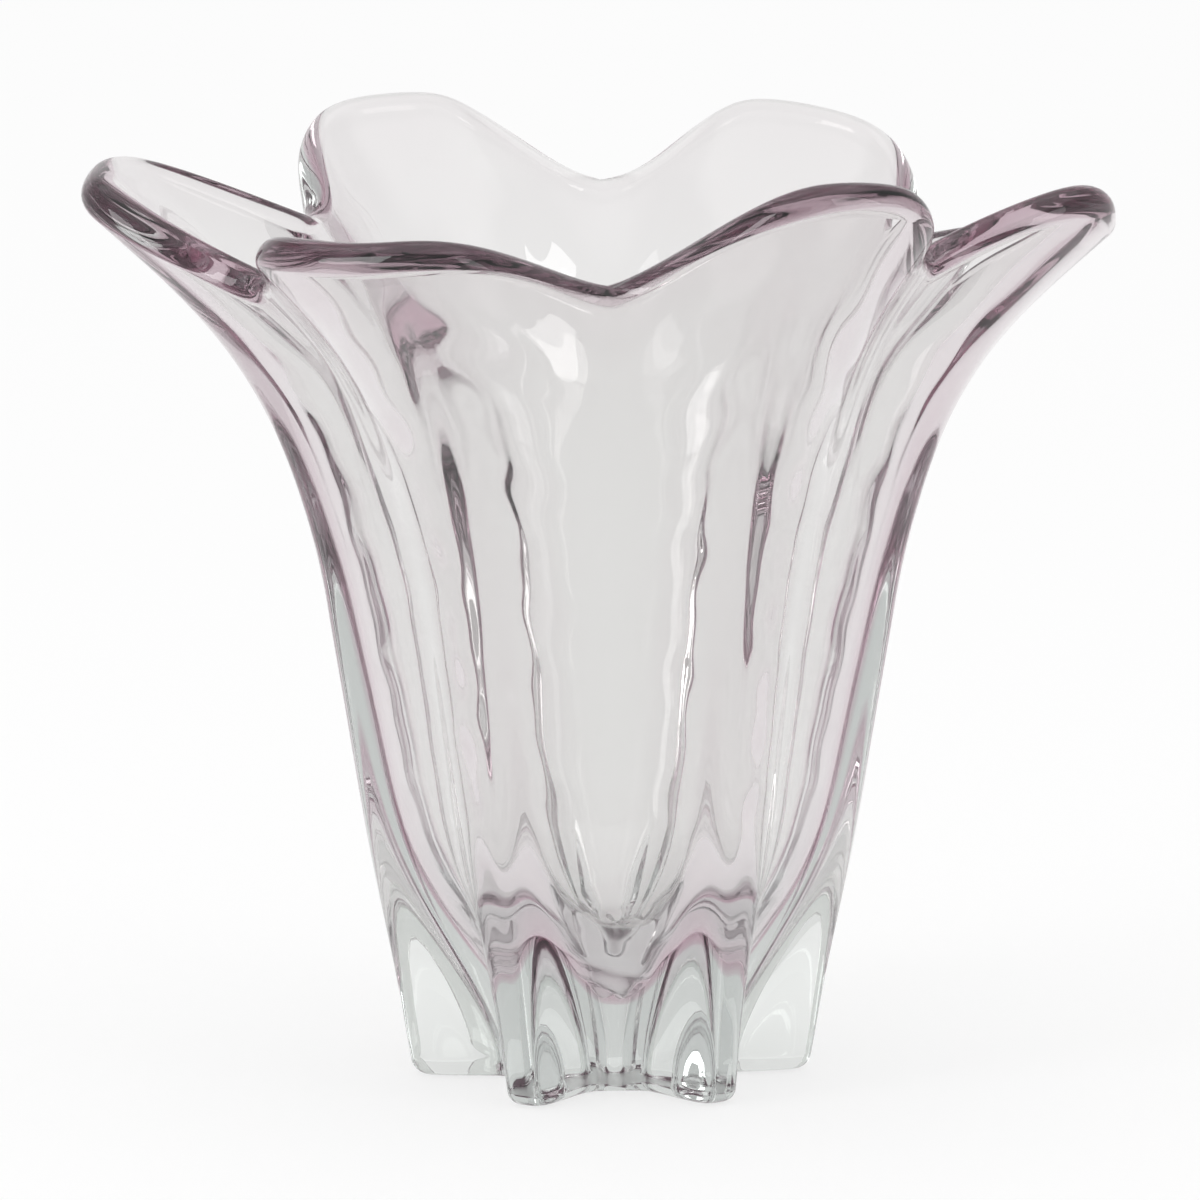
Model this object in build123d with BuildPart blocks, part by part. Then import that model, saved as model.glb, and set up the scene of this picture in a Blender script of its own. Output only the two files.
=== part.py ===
from build123d import *
import os
import numpy as np

os.makedirs("parts", exist_ok=True)

# Sizes in millimetres, angles in degrees. +Z is up, the feet stand on z = 0,
# and the petals point to 0, 60, 120 ... degrees round the axis.

# The wall is given on levels, each this much above the one below it
TOE_RISE = 8.0              # above the sole; the flutes stand upright up to here
HEEL_RISE = 12.0
HIP_RISE = 38.0
WAIST_RISE = 44.0
NECK_RISE = 55.0
FLARE_RISE = 28.0
BRIM_RISE = 24.0
DIP_RISE = 18.0             # the rim in the dips between the petals

# Radius of the flutes, the hollows between the ribs, on those levels
FLUTE_FOOT = 28.5
FLUTE_TOE = 29.5
FLUTE_HEEL = 33.5
FLUTE_HIP = 52.0
FLUTE_WAIST = 62.5
FLUTE_NECK = 73.0
FLUTE_FLARE = 77.0
FLUTE_BRIM = 86.0
FLUTE_DIP = 99.0

# How far the ribs stand out of the flutes on those levels
LOBE_COUNT = 6
RIB_FOOT = 25.5
RIB_TOE = 26.0
RIB_HEEL = 24.0
RIB_HIP = 13.0
RIB_WAIST = 10.0
RIB_NECK = 7.5
RIB_FLARE = 6.0
RIB_BRIM = 4.0
RIB_DIP = 2.0
RIB_BREADTH_FOOT = 0.58     # as a share of half the pitch between ribs
RIB_BREADTH_DIP = 0.62
FOOT_ROUND = 3.6            # rounding along the lower edge of the feet
FLUTE_ROUNDING = 0.3        # share of that rounding in the flutes
FOOT_NARROWING = 0.3        # share of the feet's breadth lost in that rounding
FOOT_TURN = 4.0             # the ribs lean round the axis by this at the feet, and by nothing at the neck

# Petals, which open above the waist
PETAL_START = 28.0          # this far above the waist
PETAL_SWELL = 36.0          # petals reach this much further out than the dips
PETAL_LIFT = 12.0           # and this much higher
PETAL_BREADTH = 1.2         # as a share of half the pitch between petals
SWELL_POWER = 2.0           # larger opens the petals later
LIFT_POWER = 3.2
LIFT_FULLNESS = 0.7         # smaller makes the dips narrower

# Hand-worked rim: differences every 15 degrees round it, starting with the petal on +X.
# Rises and reaches count hand steps, sways count degrees
HAND_STEP = 0.5
RIM_RISE = [-16, -22, -23, -12, 6, 4, -4, 7, 12, 0, -14, 1, 2, -10, -20, -6, -7, -1, -10, 13, 24, 10, -6, 2]
RIM_REACH = [-5, 1, 3, -3, -10, -11, -9, -4, -4, -2, 0, 3, 7, 12, 10, 5, 0, 0, -2, -8, -11, -8, -2, -3]
RIM_SWAY = [0, -2, -1.5, 2, 5, 4, 1.5, 0, -1.5, -0.5, 0, 0, 0, -2, -3, -2, 0, 0.5, 0, 0, 0, -0.5, 0, 0.5]
RIM_POWER = 2               # larger keeps the hand work nearer to the rim

# The two layers of glass
CASING_WALL = 5.6           # clear glass outside the lining, in the flutes
CASING_FLOOR = 26.5         # clear glass under the lining
LINING_WALL = 2.2           # tinted glass round the hollow
LINING_FLOOR = 3.4          # tinted glass under the hollow
CASING_LIP = 0.4            # more clear glass at the lip than in the flutes
LINING_LIP = 1.8            # more tinted glass at the lip
LIP_POWER = 5               # larger keeps the thick lip nearer to the rim
BOWL_HEIGHT = 46.0          # rounded lower end of the lining and of the hollow
BOWL_ROUNDNESS = 2.3        # 2 is an ellipse, larger is squarer
BOWL_FLAT = 0.15            # flat middle of the rounded ends, as a share of their width
LINING_RIB_SHARE = 0.45     # how much of each rib shows on the outside of the lining
HOLLOW_RIB_SHARE = 0.3      # and on the wall of the hollow

# How finely the surfaces are followed
POINTS_PER_LOBE = 40
WALL_ROWS = 20
BOWL_ROWS = 7
LIP_ROWS = 5
FOOT_ROWS = 5
CROWDING = 0.5              # how much closer the points lie on ribs and in flutes
ROW_CROWDING = 1.5          # how much closer the inner rows lie near the rim
SMALL_STEP = 0.01           # for slopes, in millimetres and radians

# Worked out from the sizes above
RISES = [0, TOE_RISE, HEEL_RISE, HIP_RISE, WAIST_RISE, NECK_RISE, FLARE_RISE, BRIM_RISE, DIP_RISE]
LEVELS = np.cumsum(RISES)
FLUTES = [FLUTE_FOOT, FLUTE_TOE, FLUTE_HEEL, FLUTE_HIP]
FLUTES += [FLUTE_WAIST, FLUTE_NECK, FLUTE_FLARE, FLUTE_BRIM, FLUTE_DIP]
RIBS = [RIB_FOOT, RIB_TOE, RIB_HEEL, RIB_HIP, RIB_WAIST, RIB_NECK, RIB_FLARE, RIB_BRIM, RIB_DIP]
HIP_HEIGHT, WAIST_HEIGHT, NECK_HEIGHT = LEVELS[3:6]
DIP_HEIGHT = LEVELS[-1]
PETAL_START_HEIGHT = WAIST_HEIGHT + PETAL_START
POINTS_ROUND = LOBE_COUNT * POINTS_PER_LOBE


def through(values, height):
    """Natural cubic spline through the values on the levels."""
    y = np.array(values, float)
    count = len(y)
    gap = np.diff(LEVELS)
    matrix = np.eye(count)
    right = np.zeros(count)
    for i in range(1, count - 1):
        matrix[i, i - 1:i + 2] = gap[i - 1], 2 * (gap[i - 1] + gap[i]), gap[i]
        right[i] = 6 * ((y[i + 1] - y[i]) / gap[i] - (y[i] - y[i - 1]) / gap[i - 1])
    bend = np.linalg.solve(matrix, right)
    k = np.clip(np.searchsorted(LEVELS, height) - 1, 0, count - 2)
    over = height - LEVELS[k]
    under = LEVELS[k + 1] - height
    curve = (bend[k] * under**3 + bend[k + 1] * over**3) / (6 * gap[k])
    low = (y[k] / gap[k] - bend[k] * gap[k] / 6) * under
    high = (y[k + 1] / gap[k] - bend[k + 1] * gap[k] / 6) * over
    return curve + low + high


def around(values, angle):
    """Smooth periodic curve through values spaced evenly round the axis."""
    count = len(values)
    total = np.zeros_like(angle)
    for k, value in enumerate(values):
        turn = (angle - 2 * np.pi * k / count + np.pi) % (2 * np.pi) - np.pi
        turn = np.where(np.abs(turn) < 1e-9, 1e-9, turn)
        total = total + value * np.sin(count * turn / 2) / (count * np.tan(turn / 2))
    return total


def lobe(angle, breadth):
    """1 on the ribs and 0 in the flutes; a larger breadth makes the ribs wider."""
    wave = np.sin(LOBE_COUNT / 2 * angle) ** 4 / breadth**4
    least = 1 / (1 + 1 / breadth**4)
    return (1 / (1 + wave) - least) / (1 - least)


def ring_angles():
    """Angles of a ring's points, closest together on the ribs and in the flutes."""
    even = (np.arange(POINTS_ROUND) + POINTS_PER_LOBE / 4) * 2 * np.pi / POINTS_ROUND
    return even - CROWDING * np.sin(2 * LOBE_COUNT * even) / (2 * LOBE_COUNT)


def level(height):
    return np.full(POINTS_ROUND, float(height))


def opened(height):
    """0 where the petals start and 1 at the rim in the dips."""
    return np.clip((height - PETAL_START_HEIGHT) / (DIP_HEIGHT - PETAL_START_HEIGHT), 0, None)


def wall(angle, height, rib_share=1, shrink=0):
    """Points of the outer wall, with its ribs cut to a share and its outline shrunk."""
    opening = opened(height)
    lean = np.clip(1 - height / NECK_HEIGHT, 0, None) ** 2
    breadth = RIB_BREADTH_FOOT + (RIB_BREADTH_DIP - RIB_BREADTH_FOOT) * height / DIP_HEIGHT
    breadth = breadth * (1 - FOOT_NARROWING * shrink / FOOT_ROUND)
    petal = lobe(angle, PETAL_BREADTH)
    hand = HAND_STEP * opening**RIM_POWER
    ribs = lobe(angle, breadth)
    radius = through(FLUTES, height) + rib_share * through(RIBS, height) * ribs
    radius = radius - shrink * (FLUTE_ROUNDING + (1 - FLUTE_ROUNDING) * ribs)
    radius = radius + PETAL_SWELL * opening**SWELL_POWER * petal + around(RIM_REACH, angle) * hand
    rise = PETAL_LIFT * opening**LIFT_POWER * petal**LIFT_FULLNESS + around(RIM_RISE, angle) * hand
    turned = angle + np.radians(around(RIM_SWAY, angle) * opening**RIM_POWER + FOOT_TURN * lean)
    return np.stack([radius * np.cos(turned), radius * np.sin(turned), height + rise], -1)


def inset(angle, height, rib_share, depth):
    """Points a depth inside the wall, square to it; level rows stay level below the hip."""
    ahead = wall(angle + SMALL_STEP, height, rib_share)
    behind = wall(angle - SMALL_STEP, height, rib_share)
    above = wall(angle, height + SMALL_STEP, rib_share)
    below = wall(angle, height - SMALL_STEP, rib_share)
    normal = np.cross(ahead - behind, above - below)
    normal = normal / np.linalg.norm(normal, axis=-1, keepdims=True)
    ease = np.clip((height - HIP_HEIGHT) / (NECK_HEIGHT - HIP_HEIGHT), 0, 1)
    normal[..., 2] = normal[..., 2] * ease * ease * (3 - 2 * ease)
    return wall(angle, height, rib_share) - depth * normal


def foot_rows():
    """Rings over the rounded lower edge, from the flat sole up to the wall."""
    rows = []
    for turn in np.linspace(0, np.pi / 2, FOOT_ROWS, endpoint=False):
        height = FOOT_ROUND * (1 - np.cos(turn))
        rows.append(wall(ring_angles(), level(height), 1, FOOT_ROUND * (1 - np.sin(turn))))
    return rows


def wall_rows():
    """Rings of the outer wall, from the rounded foot up to the rim."""
    shares = (1 - np.cos(np.linspace(0, np.pi, WALL_ROWS))) / 2
    return [wall(ring_angles(), level(FOOT_ROUND + share * (DIP_HEIGHT - FOOT_ROUND))) for share in shares]


def inner_rows(rib_share, depth, lip, floor):
    """Rings of a surface inside the wall, from its flat middle up to the rim, where the lip deepens it."""
    bowl_top = floor + BOWL_HEIGHT
    bowl_widths = np.sin(np.linspace(np.arcsin(BOWL_FLAT), np.pi / 2, BOWL_ROWS, endpoint=False))
    drops = (1 - bowl_widths**BOWL_ROUNDNESS) ** (1 / BOWL_ROUNDNESS)
    shares = 1 - (1 - np.linspace(0, 1, WALL_ROWS)) ** ROW_CROWDING
    heights = np.concatenate([bowl_top - drops * BOWL_HEIGHT, bowl_top + shares * (DIP_HEIGHT - bowl_top)])
    widths = np.concatenate([bowl_widths, np.ones(WALL_ROWS)])
    rows = []
    for height, width in zip(heights, widths):
        share = rib_share * np.clip((height - floor) / (WAIST_HEIGHT - floor), 0, 1)
        ring = inset(ring_angles(), level(height), share, depth + lip * opened(height) ** LIP_POWER)
        ring[:, :2] = ring[:, :2] * width
        rows.append(ring)
    return rows


def lip_rows(outside, inside, first_turn, last_turn):
    """Rings over the rounded lip after the first turn: 0 is the outer rim and pi the inner rim."""
    top = level(DIP_HEIGHT)
    upward = wall(ring_angles(), top) - wall(ring_angles(), top - SMALL_STEP)
    upward = upward / np.linalg.norm(upward, axis=-1, keepdims=True)
    middle = (outside + inside) / 2
    half = (outside - inside) / 2
    crown = np.linalg.norm(half, axis=-1, keepdims=True) * upward
    turns = np.linspace(first_turn, last_turn, LIP_ROWS)[1:]
    return [middle + half * np.cos(turn) + crown * np.sin(turn) for turn in turns]


# The rings of each skin; the lining and the casing meet on the crest of the lip
foot = foot_rows()
outside = wall_rows()
seam = inner_rows(LINING_RIB_SHARE, CASING_WALL, CASING_LIP, CASING_FLOOR)
both_walls = CASING_WALL + LINING_WALL
both_lips = CASING_LIP + LINING_LIP
hollow = inner_rows(HOLLOW_RIB_SHARE, both_walls, both_lips, CASING_FLOOR + LINING_FLOOR)
seam_turn = np.arccos(1 - 2 * (CASING_WALL + CASING_LIP) / (both_walls + both_lips))
outer_lip = lip_rows(outside[-1], hollow[-1], 0, seam_turn)
inner_lip = lip_rows(outside[-1], hollow[-1], np.pi, seam_turn)


# The glass pieces
def ring_wire(points):
    """Closed smooth curve through a ring of points, with one edge for each lobe."""
    shares = [i / POINTS_PER_LOBE for i in range(POINTS_PER_LOBE + 1)]
    closed = np.concatenate([points[-1:], points, points[:2]])
    edges = []
    for first in range(1, POINTS_ROUND, POINTS_PER_LOBE):
        last = first + POINTS_PER_LOBE
        picked = [Vector(*point) for point in closed[first:last + 1]]
        ends = [Vector(*(closed[i + 1] - closed[i - 1])).normalized() for i in (first, last)]
        edges.append(Edge.make_spline(picked, tangents=ends, parameters=shares))
    return Wire(edges)


def skin(rows):
    """Faces of a smooth open skin through rings that need not be level."""
    return Shell.make_loft([ring_wire(points) for points in rows]).faces()


outer_skin = skin(foot + outside + outer_lip)
seam_skin = skin(seam + outer_lip[-1:])
hollow_skin = skin(hollow + inner_lip)
sole = Face(ring_wire(foot[0]))
seam_floor = Face(ring_wire(seam[0]))
hollow_floor = Face(ring_wire(hollow[0]))

# Clear outer glass with the ribs, the feet and the outer half of the lip
with BuildPart() as clear_casing:
    add(Solid(Shell(outer_skin + seam_skin + [sole, seam_floor])))
clear_casing.part.label = "clear_casing"
export_step(clear_casing.part, "parts/clear_casing.step")

# Tinted glass inside it, which holds the water
with BuildPart() as lilac_lining:
    add(Solid(Shell(hollow_skin + seam_skin + [hollow_floor, seam_floor])))
lilac_lining.part.label = "lilac_lining"
export_step(lilac_lining.part, "parts/lilac_lining.step")
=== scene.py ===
import bpy
import numpy as np
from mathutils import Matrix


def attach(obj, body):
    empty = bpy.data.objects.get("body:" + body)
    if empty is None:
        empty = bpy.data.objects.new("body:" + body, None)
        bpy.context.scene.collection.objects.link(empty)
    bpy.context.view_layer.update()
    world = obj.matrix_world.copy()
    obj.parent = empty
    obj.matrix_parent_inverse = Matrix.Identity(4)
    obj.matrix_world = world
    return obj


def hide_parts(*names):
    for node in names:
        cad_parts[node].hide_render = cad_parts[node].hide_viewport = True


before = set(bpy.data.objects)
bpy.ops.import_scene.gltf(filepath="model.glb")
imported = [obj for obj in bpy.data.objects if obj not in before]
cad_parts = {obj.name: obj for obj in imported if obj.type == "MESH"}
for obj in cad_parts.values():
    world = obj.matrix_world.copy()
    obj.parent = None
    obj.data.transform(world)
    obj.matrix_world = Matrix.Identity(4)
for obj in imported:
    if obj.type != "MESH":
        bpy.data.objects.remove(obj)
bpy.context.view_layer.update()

# Sizes of the vase in millimetres and angles in degrees, as in the part's source; meshes are made in metres
MM = 0.001

# The wall on its levels, from the sole up to the rim in the dips between the petals
LEVELS = np.cumsum([0.0, 8.0, 12.0, 38.0, 44.0, 55.0, 28.0, 24.0, 18.0])
HIP_HEIGHT, WAIST_HEIGHT, NECK_HEIGHT = LEVELS[3:6]
DIP_HEIGHT = LEVELS[-1]
FLUTES = np.array([28.5, 29.5, 33.5, 52.0, 62.5, 73.0, 77.0, 86.0, 99.0])   # radius between the ribs
RIBS = np.array([25.5, 26.0, 24.0, 13.0, 10.0, 7.5, 6.0, 4.0, 2.0])         # how far ribs stand out of it
LOBE_COUNT = 6
RIB_BREADTH_FOOT = 0.58    # as a share of half the pitch between ribs
RIB_BREADTH_DIP = 0.62
FOOT_ROUND = 3.6           # rounding along the lower edge of the feet
FLUTE_ROUNDING = 0.3       # share of that rounding in the flutes
FOOT_NARROWING = 0.3       # share of the feet's breadth lost in that rounding
FOOT_TURN = 4.0            # the ribs lean round the axis by this at the feet, and by nothing at the neck

# Petals, which open above the waist
PETAL_START = 28.0         # this far above the waist
PETAL_START_HEIGHT = WAIST_HEIGHT + PETAL_START
PETAL_SWELL = 36.0         # petals reach this much further out than the dips
PETAL_LIFT = 12.0          # and this much higher
PETAL_BREADTH = 1.2        # as a share of half the pitch between petals
SWELL_POWER = 2.0          # larger opens the petals later
LIFT_POWER = 3.2
LIFT_FULLNESS = 0.7        # smaller makes the dips narrower

# Hand-worked rim: differences every 15 degrees round it, starting with the petal on +X.
# Rises and reaches count hand steps, sways count degrees
HAND_STEP = 0.5
RIM_RISE = np.array(
    [-16, -22, -23, -12, 6, 4, -4, 7, 12, 0, -14, 1, 2, -10, -20, -6, -7, -1, -10, 13, 24, 10, -6, 2.0]
)
RIM_REACH = np.array(
    [-5, 1, 3, -3, -10, -11, -9, -4, -4, -2, 0, 3, 7, 12, 10, 5, 0, 0, -2, -8, -11, -8, -2, -3.0]
)
RIM_SWAY = np.array(
    [0, -2, -1.5, 2, 5, 4, 1.5, 0, -1.5, -0.5, 0, 0, 0, -2, -3, -2, 0, 0.5, 0, 0, 0, -0.5, 0, 0.5]
)
RIM_POWER = 2              # larger keeps the hand work nearer to the rim

# The two layers of glass
CASING_WALL = 5.6          # clear glass outside the lining, in the flutes
CASING_FLOOR = 26.5        # clear glass under the lining
LINING_WALL = 2.2          # tinted glass round the hollow
LINING_FLOOR = 3.4         # tinted glass under the hollow
CASING_LIP = 0.4           # more clear glass at the lip than in the flutes
LINING_LIP = 1.8           # more tinted glass at the lip
LIP_POWER = 5              # larger keeps the thick lip nearer to the rim
BOWL_HEIGHT = 46.0         # rounded lower end of the lining and of the hollow
BOWL_ROUNDNESS = 2.3       # 2 is an ellipse, larger is squarer
BOWL_FLAT = 0.15           # flat middle of the rounded ends, as a share of their width
LINING_RIB_SHARE = 0.45    # how much of each rib shows on the outside of the lining
HOLLOW_RIB_SHARE = 0.3     # and on the wall of the hollow
FUSED_GAP = 0.04           # keeps the two skins of the seam from lying in each other

# Unevenness of the blown hollow
RIPPLE = 0.20              # depth of each of the two ripples along the flanks of the ribs
RIPPLE_LENGTHS = (17.0, 31.0)
RIPPLE_SHIFTS = (5.0, 7.0)   # how far each phase swings on the way round the axis, in radians
SWIRL = 1.8                # rise and fall of the floor of the bowl
SWIRL_TURNS = 3            # waves on the way round the axis
SWIRL_TWIST = 4.0          # outwards, this much turns the waves by a radian
SWIRL_SPREAD = 5.0         # and this much is a radian of their rise and fall

# How finely the surfaces are followed
POINTS_ROUND = 360
FOOT_ROWS = 12
WALL_ROWS = 110
INNER_ROWS = 80
BOWL_ROWS = 16
LIP_ROWS = 10
FLAT_ROWS = 3
ROW_CROWDING = 1.5         # how much closer the inner rows lie near the rim
SMALL_STEP = 0.01          # for slopes, in millimetres and radians
LEAST_TURN = 1e-9          # stands for a turn of nothing, in radians


def through(values, height):
    """Natural cubic spline through the values on the levels, with the bends from one linear system."""
    gap = np.diff(LEVELS)
    count = len(values)
    matrix = np.eye(count)
    right = np.zeros(count)
    inner = np.arange(1, count - 1)
    matrix[inner, inner - 1] = gap[:-1]
    matrix[inner, inner] = 2 * (gap[:-1] + gap[1:])
    matrix[inner, inner + 1] = gap[1:]
    right[inner] = 6 * np.diff(np.diff(values) / gap)
    bend = np.linalg.solve(matrix, right)
    k = np.clip(np.searchsorted(LEVELS, height) - 1, 0, count - 2)
    over = height - LEVELS[k]
    under = LEVELS[k + 1] - height
    curve = (bend[k] * under**3 + bend[k + 1] * over**3) / (6 * gap[k])
    low = (values[k] / gap[k] - bend[k] * gap[k] / 6) * under
    high = (values[k + 1] / gap[k] - bend[k + 1] * gap[k] / 6) * over
    return curve + low + high


def around(values, angle):
    """Smooth periodic curve through values spaced evenly round the axis: a sum of sine kernels."""
    count = len(values)
    places = 2 * np.pi * np.arange(count) / count
    turn = (angle[..., None] - places + np.pi) % (2 * np.pi) - np.pi
    turn = np.where(np.abs(turn) < LEAST_TURN, LEAST_TURN, turn)
    return (values * np.sin(count * turn / 2) / (count * np.tan(turn / 2))).sum(-1)


def lobe(angle, breadth):
    """1 on the ribs and 0 in the flutes: one over one plus the fourth power of a sine over the breadth,
    brought to that range."""
    wave = np.sin(LOBE_COUNT / 2 * angle) ** 4 / breadth**4
    least = 1 / (1 + 1 / breadth**4)
    return (1 / (1 + wave) - least) / (1 - least)


def opened(height):
    """0 where the petals start and 1 at the rim in the dips, linear between."""
    return np.clip((height - PETAL_START_HEIGHT) / (DIP_HEIGHT - PETAL_START_HEIGHT), 0, None)


def wall(angle, height, rib_share=1, shrink=0):
    """Outer wall by angle and height: the flute radius, plus ribs that fade upwards, plus petals that
    swell and lift by a power of how far the wall has opened, plus the unevenness of the rim. The ribs
    can be cut to a share, and the outline shrunk."""
    opening = opened(height)
    lean = np.clip(1 - height / NECK_HEIGHT, 0, None) ** 2
    breadth = RIB_BREADTH_FOOT + (RIB_BREADTH_DIP - RIB_BREADTH_FOOT) * height / DIP_HEIGHT
    breadth = breadth * (1 - FOOT_NARROWING * shrink / FOOT_ROUND)
    petal = lobe(angle, PETAL_BREADTH)
    hand = HAND_STEP * opening**RIM_POWER
    ribs = lobe(angle, breadth)
    radius = through(FLUTES, height) + rib_share * through(RIBS, height) * ribs
    radius = radius - shrink * (FLUTE_ROUNDING + (1 - FLUTE_ROUNDING) * ribs)
    radius = radius + PETAL_SWELL * opening**SWELL_POWER * petal + around(RIM_REACH, angle) * hand
    rise = PETAL_LIFT * opening**LIFT_POWER * petal**LIFT_FULLNESS + around(RIM_RISE, angle) * hand
    turned = angle + np.radians(around(RIM_SWAY, angle) * opening**RIM_POWER + FOOT_TURN * lean)
    return np.stack([radius * np.cos(turned), radius * np.sin(turned), height + rise], -1)


def inset(angle, height, rib_share, depth):
    """The wall moved inwards by a depth along its normal, which lies level below the hip and is eased in
    up to the neck."""
    ahead = wall(angle + SMALL_STEP, height, rib_share)
    behind = wall(angle - SMALL_STEP, height, rib_share)
    above = wall(angle, height + SMALL_STEP, rib_share)
    below = wall(angle, height - SMALL_STEP, rib_share)
    normal = np.cross(ahead - behind, above - below)
    normal = normal / np.linalg.norm(normal, axis=-1, keepdims=True)
    ease = np.clip((height - HIP_HEIGHT) / (NECK_HEIGHT - HIP_HEIGHT), 0, 1)
    normal[..., 2] = normal[..., 2] * ease * ease * (3 - 2 * ease)
    return wall(angle, height, rib_share) - depth[..., None] * normal


ANGLES = 2 * np.pi * np.arange(POINTS_ROUND) / POINTS_ROUND


def grid(heights):
    """Angle and height on a grid with one row for each height."""
    return np.meshgrid(ANGLES, heights)


def flat_rows(ring):
    """Rings that fill a flat end: the ring shrunk towards the axis in equal steps, innermost first."""
    shares = (np.arange(FLAT_ROWS) + 1) / (FLAT_ROWS + 1)
    rows = np.repeat(ring[None], FLAT_ROWS, 0)
    rows[..., :2] = rows[..., :2] * shares[:, None, None]
    return rows


def foot_rows():
    """Quarter round along the lower edge of the feet: height and shrink follow a circle of its radius."""
    turn = np.linspace(0, np.pi / 2, FOOT_ROWS, endpoint=False)
    angle, height = grid(FOOT_ROUND * (1 - np.cos(turn)))
    return wall(angle, height, 1, (FOOT_ROUND * (1 - np.sin(turn)))[:, None])


def wall_rows():
    """The outer wall from the foot to the rim, with rows closer together at both ends."""
    shares = (1 - np.cos(np.linspace(0, np.pi, WALL_ROWS))) / 2
    return wall(*grid(FOOT_ROUND + shares * (DIP_HEIGHT - FOOT_ROUND)))


def inner_rows(rib_share, depth, lip, floor, unevenness=None):
    """A surface inside the wall: a super-ellipse bowl from its flat middle up, then the inset wall to the
    rim, where a power of how far the wall has opened makes the lip thicker."""
    bowl_top = floor + BOWL_HEIGHT
    bowl_widths = np.sin(np.linspace(np.arcsin(BOWL_FLAT), np.pi / 2, BOWL_ROWS, endpoint=False))
    drops = (1 - bowl_widths**BOWL_ROUNDNESS) ** (1 / BOWL_ROUNDNESS)
    shares = 1 - (1 - np.linspace(0, 1, INNER_ROWS)) ** ROW_CROWDING
    wall_heights = bowl_top + shares * (DIP_HEIGHT - bowl_top)
    angle, height = grid(np.concatenate([bowl_top - drops * BOWL_HEIGHT, wall_heights]))
    widths = np.concatenate([bowl_widths, np.ones(INNER_ROWS)])
    share = rib_share * np.clip((height - floor) / (WAIST_HEIGHT - floor), 0, 1)
    depths = depth + lip * opened(height) ** LIP_POWER
    if unevenness:
        depths = depths + unevenness(angle, height)
    rows = inset(angle, height, share, depths)
    rows[..., :2] = rows[..., :2] * widths[:, None, None]
    return rows


def ripples(angle, height):
    """Two sines along the height, whose phases swing round the axis, on the flanks of the ribs only."""
    ribs = lobe(angle, RIB_BREADTH_DIP)
    flanks = 4 * ribs * (1 - ribs)
    short, long = 2 * np.pi / np.array(RIPPLE_LENGTHS)
    short_shift, long_shift = RIPPLE_SHIFTS
    waves = np.sin(short * height + short_shift * np.sin(angle))
    waves = waves + np.sin(long * height + long_shift * np.cos(angle))
    return RIPPLE * flanks * waves


def swirled(rows):
    """The hollow with an uneven floor: a sine that winds round the axis times one that runs outwards,
    strongest at the bottom of the bowl."""
    x, y, z = np.moveaxis(rows, -1, 0)
    sunk = np.clip(1 - (z - z.min()) / BOWL_HEIGHT, 0, 1) ** 2
    outwards = np.hypot(x, y)
    winding = np.sin(SWIRL_TURNS * np.arctan2(y, x) + outwards / SWIRL_TWIST)
    return np.stack([x, y, z + SWIRL * sunk * winding * np.sin(outwards / SWIRL_SPREAD)], -1)


def lip_rows(outside, inside, first_turn, last_turn):
    """Half round over the lip after the first turn: 0 is the outer rim and pi the inner rim."""
    top = np.full(POINTS_ROUND, DIP_HEIGHT)
    upward = wall(ANGLES, top) - wall(ANGLES, top - SMALL_STEP)
    upward = upward / np.linalg.norm(upward, axis=-1, keepdims=True)
    middle = (outside + inside) / 2
    half = (outside - inside) / 2
    crown = np.linalg.norm(half, axis=-1, keepdims=True) * upward
    turns = np.linspace(first_turn, last_turn, LIP_ROWS)[1:, None, None]
    return middle + half * np.cos(turns) + crown * np.sin(turns)


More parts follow.
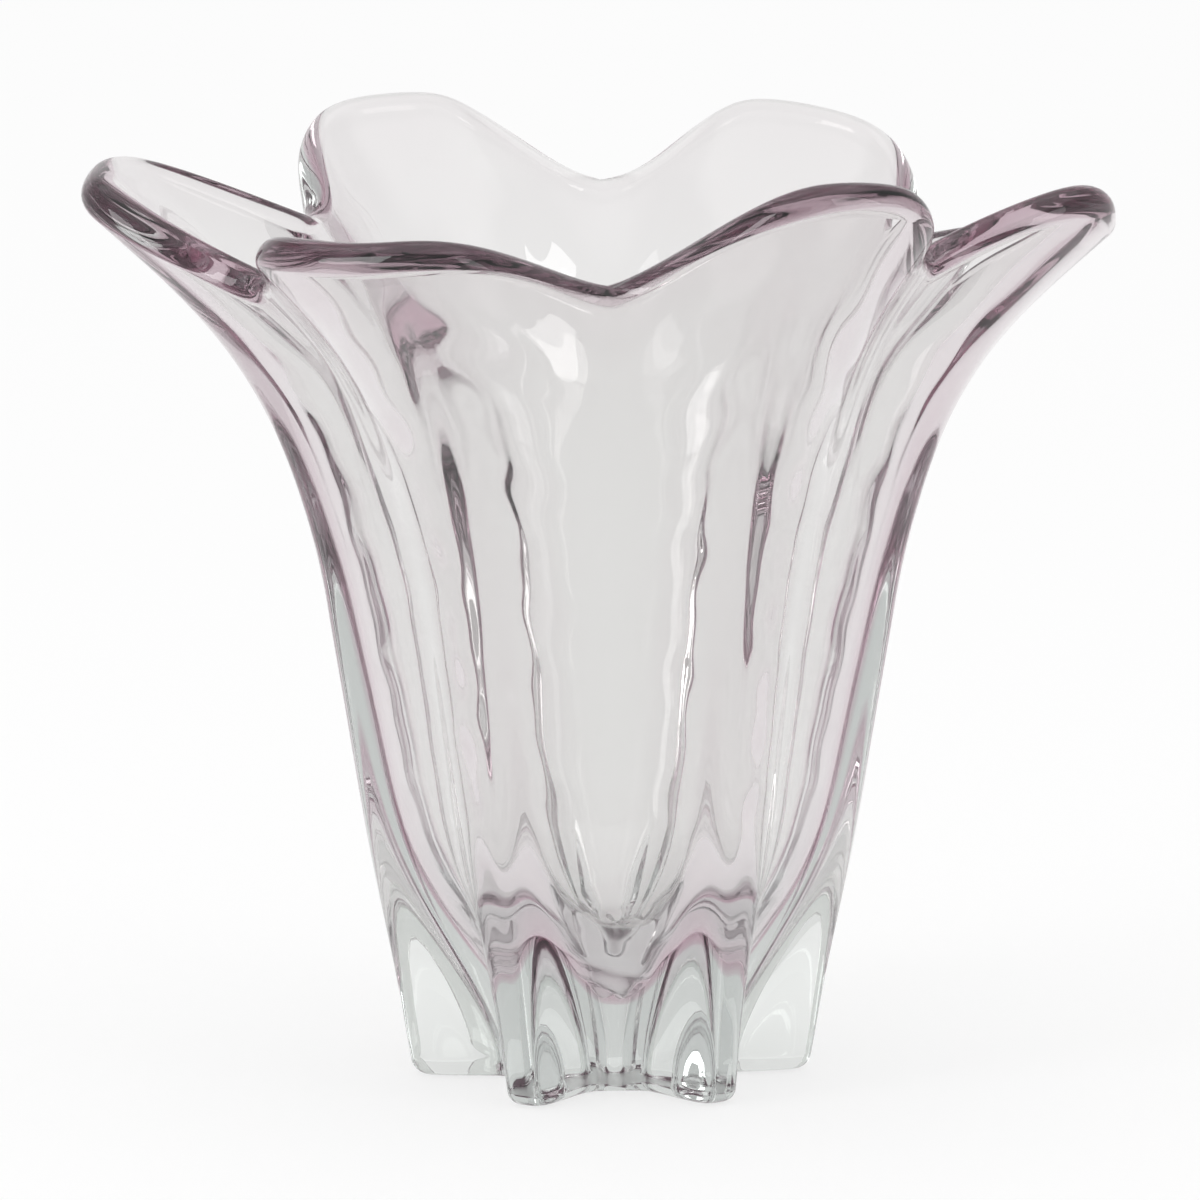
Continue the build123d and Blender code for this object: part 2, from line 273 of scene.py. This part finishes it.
def closed_skin(name, rows, edge_row, open_from, open_to, ground_to):
    """Closed mesh through rings: quads between neighbouring rings and fans at the two ends. Faces from
    row open_from to row open_to meet air, which is kept as 1 in the face attribute air; the fused ones
    have 0. The attribute ground is 1 on the faces below row ground_to. The ring edge_row is a sharp edge."""
    count = len(rows)
    first = rows[0].mean(0)
    last = rows[-1].mean(0)
    points = np.concatenate([rows.reshape(-1, 3), first[None], last[None]]) * MM
    place = np.arange(count * POINTS_ROUND).reshape(count, POINTS_ROUND)
    after = np.roll(place, -1, axis=1)
    quads = np.stack([place[:-1], after[:-1], after[1:], place[1:]], -1).reshape(-1, 4)
    start = np.stack([np.full(POINTS_ROUND, count * POINTS_ROUND), after[0], place[0]], -1)
    end = np.stack([np.full(POINTS_ROUND, count * POINTS_ROUND + 1), place[-1], after[-1]], -1)
    corners = np.concatenate([start.ravel(), quads.ravel(), end.ravel()])
    sizes = np.concatenate([np.full(POINTS_ROUND, 3), np.full(len(quads), 4), np.full(POINTS_ROUND, 3)])
    mesh = bpy.data.meshes.new(name)
    mesh.vertices.add(len(points))
    mesh.vertices.foreach_set("co", points.ravel())
    mesh.loops.add(len(corners))
    mesh.loops.foreach_set("vertex_index", corners)
    mesh.polygons.add(len(sizes))
    mesh.polygons.foreach_set("loop_start", np.cumsum(sizes) - sizes)
    mesh.polygons.foreach_set("use_smooth", np.ones(len(sizes), bool))
    mesh.update(calc_edges=True)
    row_air = (np.arange(count - 1) >= open_from) & (np.arange(count - 1) < open_to)
    air = np.concatenate([
        np.full(POINTS_ROUND, open_from <= 0),
        np.repeat(row_air, POINTS_ROUND),
        np.full(POINTS_ROUND, open_to >= count),
    ])
    ground = (np.arange(len(sizes)) < POINTS_ROUND * (ground_to + 1)) & (ground_to > 0)
    for attribute, faces in ("air", air), ("ground", ground):
        kept = mesh.attributes.new(attribute, "FLOAT", "FACE")
        kept.data.foreach_set("value", faces.astype(np.float32))
    ends = np.empty(len(mesh.edges) * 2, int)
    mesh.edges.foreach_get("vertices", ends)
    sharp = (ends.reshape(-1, 2) // POINTS_ROUND == edge_row).all(1)
    mesh.attributes.new("sharp_edge", "BOOLEAN", "EDGE").data.foreach_set("value", sharp)
    mesh.validate()
    thing = bpy.data.objects.new(name, mesh)
    bpy.context.collection.objects.link(thing)
    return thing


# The rings of each skin
foot = foot_rows()
outside = wall_rows()
both_walls = CASING_WALL + LINING_WALL
both_lips = CASING_LIP + LINING_LIP
seam = inner_rows(LINING_RIB_SHARE, CASING_WALL, CASING_LIP, CASING_FLOOR)
lining_seam = inner_rows(
    LINING_RIB_SHARE, CASING_WALL + FUSED_GAP, CASING_LIP, CASING_FLOOR + FUSED_GAP
)
hollow = inner_rows(HOLLOW_RIB_SHARE, both_walls, both_lips, CASING_FLOOR + LINING_FLOOR, ripples)
seam_turn = np.arccos(1 - 2 * (CASING_WALL + CASING_LIP) / (both_walls + both_lips))
gap_turn = 2 * FUSED_GAP / (both_walls + both_lips)
outer_lip = lip_rows(outside[-1], hollow[-1], 0, seam_turn)
inner_lip = lip_rows(outside[-1], hollow[-1], np.pi, seam_turn + gap_turn)

# Clear casing: up the outside, over the lip and down the seam
casing_outside = np.concatenate([flat_rows(foot[0]), foot, outside, outer_lip])
casing_rows = np.concatenate([casing_outside, seam[::-1], flat_rows(seam[0])[::-1]])
casing = closed_skin(
    "clear_casing_glass", casing_rows, len(casing_outside) - 1, 0, len(casing_outside) - 1, FLAT_ROWS
)

# Lilac lining: up the seam, over the lip and down the hollow
inside = np.concatenate([hollow[::-1], flat_rows(hollow[0])[::-1]])
lining_inside = np.concatenate([inner_lip[::-1], swirled(inside)])
lining_outside = np.concatenate([flat_rows(lining_seam[0]), lining_seam])
lining_rows = np.concatenate([lining_outside, lining_inside])
lining = closed_skin(
    "lilac_lining_glass", lining_rows, len(lining_outside), len(lining_outside), len(lining_rows), 0
)

# Looks of the glass, in metres and waves per metre
GLASS_IOR = 1.51
SOLE_ROUGHNESS = 0.35      # the sole is ground flat and left satin
STRIAE = 0.07              # strength of the faint waves in the surface
STRIAE_HEIGHT = 0.002
STRIAE_SCALE = (40.0, 40.0, 16.0)   # drawn out along the height
STRIAE_DETAIL = 1.0
CLOUD_SCALE = (14.0, 14.0, 14.0)
CLOUD_DETAIL = 2.0
CLOUD_LOW = (0.885, 0.899, 0.884, 1)
CLOUD_HIGH = (0.915, 0.929, 0.914, 1)
CLEAR_TINT = (0.30, 0.355, 0.34, 1)
CLEAR_TINT_DEPTH = 5.8
LILAC_TINT = (0.52, 0.15, 0.32, 1)
LILAC_TINT_DEPTH = 25.0
WHITE = (1, 1, 1, 1)


def by_face(tree, attribute, low, high):
    """Value that is low on the faces whose attribute is 0 and high on those where it is 1."""
    faces = tree.nodes.new("ShaderNodeAttribute")
    faces.attribute_name = attribute
    value = tree.nodes.new("ShaderNodeMapRange")
    value.inputs["To Min"].default_value = low
    value.inputs["To Max"].default_value = high
    tree.links.new(faces.outputs["Fac"], value.inputs["Value"])
    return value.outputs["Result"]


def noise(tree, scale, detail):
    """Noise on the piece's own coordinates times the scale."""
    place = tree.nodes.new("ShaderNodeTexCoord")
    stretched = tree.nodes.new("ShaderNodeMapping")
    stretched.inputs["Scale"].default_value = scale
    waves = tree.nodes.new("ShaderNodeTexNoise")
    waves.inputs["Scale"].default_value = 1.0
    waves.inputs["Detail"].default_value = detail
    tree.links.new(place.outputs["Object"], stretched.inputs["Vector"])
    tree.links.new(stretched.outputs["Vector"], waves.inputs["Vector"])
    return waves.outputs["Fac"]


def shade(tree, share, low, high):
    """Mix of two colours by a share; the high one may be a colour or another node's output."""
    mix = tree.nodes.new("ShaderNodeMix")
    mix.data_type = "RGBA"
    mix.inputs["A"].default_value = low
    tree.links.new(share, mix.inputs["Factor"])
    if isinstance(high, tuple):
        mix.inputs["B"].default_value = high
    else:
        tree.links.new(high, mix.inputs["B"])
    return mix.outputs["Result"]


def glass(name, tint, tint_depth):
    """Glass that bends light and clouds it a little where it meets air, and does neither where it is
    fused. Absorption tints it by depth, and a noise drawn out along the height gives the faint striae of
    hand-gathered glass."""
    material = bpy.data.materials.new(name)
    material.use_nodes = True
    tree = material.node_tree
    shader = tree.nodes["Principled BSDF"]
    shader.inputs["Transmission Weight"].default_value = 1.0
    shader.inputs["IOR"].default_value = GLASS_IOR
    tree.links.new(by_face(tree, "air", 1.0, GLASS_IOR), shader.inputs["IOR"])
    tree.links.new(by_face(tree, "ground", 0.0, SOLE_ROUGHNESS), shader.inputs["Roughness"])
    striae = tree.nodes.new("ShaderNodeBump")
    striae.inputs["Strength"].default_value = STRIAE
    striae.inputs["Distance"].default_value = STRIAE_HEIGHT
    tree.links.new(noise(tree, STRIAE_SCALE, STRIAE_DETAIL), striae.inputs["Height"])
    tree.links.new(striae.outputs["Normal"], shader.inputs["Normal"])
    clouds = shade(tree, noise(tree, CLOUD_SCALE, CLOUD_DETAIL), CLOUD_LOW, CLOUD_HIGH)
    surface = shade(tree, by_face(tree, "air", 0.0, 1.0), WHITE, clouds)
    tree.links.new(surface, shader.inputs["Base Color"])
    depth = tree.nodes.new("ShaderNodeVolumeAbsorption")
    depth.inputs["Color"].default_value = tint
    depth.inputs["Density"].default_value = tint_depth
    tree.links.new(depth.outputs["Volume"], tree.nodes["Material Output"].inputs["Volume"])
    return material


clear_glass = glass("clear_glass", CLEAR_TINT, CLEAR_TINT_DEPTH)
lilac_glass = glass("lilac_glass", LILAC_TINT, LILAC_TINT_DEPTH)
casing.data.materials.append(clear_glass)
lining.data.materials.append(lilac_glass)
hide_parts("clear_casing")
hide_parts("lilac_lining")
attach(casing, "root")
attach(lining, "root")

# Floor in metres: paper that looks nearly white and still shows a faint shadow
FLOOR_REACH = 12.0
FLOOR_DROP = 0.0005        # keeps the sole from lying in the paper
PAPER = (0.93, 0.93, 0.93, 1)
FLOOR_GLOW = 0.72          # share of even white in what is seen of the paper


def white_paper():
    """Matt paper, mixed with an even white where it is seen directly, in a reflection or through glass."""
    material = bpy.data.materials.new("white_paper")
    material.use_nodes = True
    nodes = material.node_tree.nodes
    links = material.node_tree.links
    shader = nodes["Principled BSDF"]
    shader.inputs["Base Color"].default_value = PAPER
    shader.inputs["Roughness"].default_value = 1.0
    shader.inputs["Specular IOR Level"].default_value = 0.0
    seen = nodes.new("ShaderNodeLightPath")
    share = seen.outputs["Is Camera Ray"]
    for ray in "Is Glossy Ray", "Is Transmission Ray":
        either = nodes.new("ShaderNodeMath")
        either.operation = "MAXIMUM"
        links.new(share, either.inputs[0])
        links.new(seen.outputs[ray], either.inputs[1])
        share = either.outputs["Value"]
    glow = nodes.new("ShaderNodeMath")
    glow.operation = "MULTIPLY"
    glow.inputs[1].default_value = FLOOR_GLOW
    links.new(share, glow.inputs[0])
    white = nodes.new("ShaderNodeEmission")
    mixed = nodes.new("ShaderNodeMixShader")
    links.new(glow.outputs["Value"], mixed.inputs["Fac"])
    links.new(shader.outputs["BSDF"], mixed.inputs[1])
    links.new(white.outputs["Emission"], mixed.inputs[2])
    links.new(mixed.outputs["Shader"], nodes["Material Output"].inputs["Surface"])
    return material


floor_mesh = bpy.data.meshes.new("floor")
floor_corners = np.array([(-1, -1, 0), (1, -1, 0), (1, 1, 0), (-1, 1, 0)]) * FLOOR_REACH
floor_mesh.from_pydata(floor_corners, [], [(0, 1, 2, 3)])
floor_mesh.materials.append(white_paper())
floor = bpy.data.objects.new("floor", floor_mesh)
floor.location.z = -FLOOR_DROP
bpy.context.collection.objects.link(floor)

# Studio: a pale band round the horizon, a dim band above it and a large soft light overhead.
# Heights are sines of the elevation
SKY_LEVELS = [(0.0, 0.85), (0.42, 0.85), (0.55, 0.7), (0.74, 0.7), (0.84, 1.0)]
OVERHEAD_START = 0.74
OVERHEAD_FULL = 0.86
OVERHEAD_STRENGTH = 1.3
world = bpy.data.worlds.new("studio")
world.use_nodes = True
bpy.context.scene.world = world
nodes = world.node_tree.nodes
links = world.node_tree.links
direction = nodes.new("ShaderNodeTexCoord")
split = nodes.new("ShaderNodeSeparateXYZ")
links.new(direction.outputs["Generated"], split.inputs["Vector"])
ramp = nodes.new("ShaderNodeValToRGB")
links.new(split.outputs["Z"], ramp.inputs["Fac"])
ramp.color_ramp.interpolation = "EASE"
marks = ramp.color_ramp.elements
marks[0].position = SKY_LEVELS[0][0]
marks[1].position = SKY_LEVELS[-1][0]
for height, _ in SKY_LEVELS[1:-1]:
    marks.new(height)
for mark, (_, level) in zip(marks, SKY_LEVELS):
    mark.color = (level, level, level, 1)
overhead = nodes.new("ShaderNodeMapRange")
overhead.inputs["From Min"].default_value = OVERHEAD_START
overhead.inputs["From Max"].default_value = OVERHEAD_FULL
overhead.inputs["To Min"].default_value = 1.0
overhead.inputs["To Max"].default_value = OVERHEAD_STRENGTH
links.new(split.outputs["Z"], overhead.inputs["Value"])
links.new(ramp.outputs["Color"], nodes["Background"].inputs["Color"])
links.new(overhead.outputs["Result"], nodes["Background"].inputs["Strength"])

# Two tall soft boxes in front, the main one on the left: metres, degrees round the axis, and radiance
BOX_WIDE = 0.6
BOX_TALL = 1.2
BOX_DISTANCE = 1.8
BOX_HEIGHT = 0.8
BOX_TILT = 70.0
for name, turn, radiance in ("left_box", -143.0, 4.0), ("right_box", -35.0, 1.6):
    lamp = bpy.data.lights.new(name, "AREA")
    lamp.shape = "RECTANGLE"
    lamp.size = BOX_WIDE
    lamp.size_y = BOX_TALL
    lamp.energy = radiance * np.pi * BOX_WIDE * BOX_TALL
    box = bpy.data.objects.new(name, lamp)
    azimuth = np.radians(turn)
    box.location = (BOX_DISTANCE * np.cos(azimuth), BOX_DISTANCE * np.sin(azimuth), BOX_HEIGHT)
    box.rotation_euler = (np.radians(BOX_TILT), 0, azimuth + np.pi / 2)
    bpy.context.collection.objects.link(box)

# Camera in metres, in front of the vase and a little above it
CAMERA_LENS = 331.4        # millimetres
CAMERA_SENSOR = 36.0       # millimetres
CAMERA_RISE = np.radians(10.0)
CAMERA_DISTANCE = 3.0
CAMERA_REACH = 100.0
LOOK_AT = (-0.003, 0.0017, 0.1299)
camera = bpy.data.cameras.new("camera")
camera.lens = CAMERA_LENS
camera.sensor_width = CAMERA_SENSOR
camera.clip_end = CAMERA_REACH
eye = bpy.data.objects.new("camera", camera)
eye.location = (
    LOOK_AT[0],
    LOOK_AT[1] - CAMERA_DISTANCE * np.cos(CAMERA_RISE),
    LOOK_AT[2] + CAMERA_DISTANCE * np.sin(CAMERA_RISE),
)
eye.rotation_euler = (np.pi / 2 - CAMERA_RISE, 0, 0)
bpy.context.collection.objects.link(eye)

# Light crosses many glass surfaces on its way
BOUNCES = 48
scene = bpy.context.scene
scene.camera = eye
scene.view_settings.view_transform = "Standard"
scene.cycles.max_bounces = BOUNCES
scene.cycles.transmission_bounces = BOUNCES
scene.cycles.glossy_bounces = BOUNCES
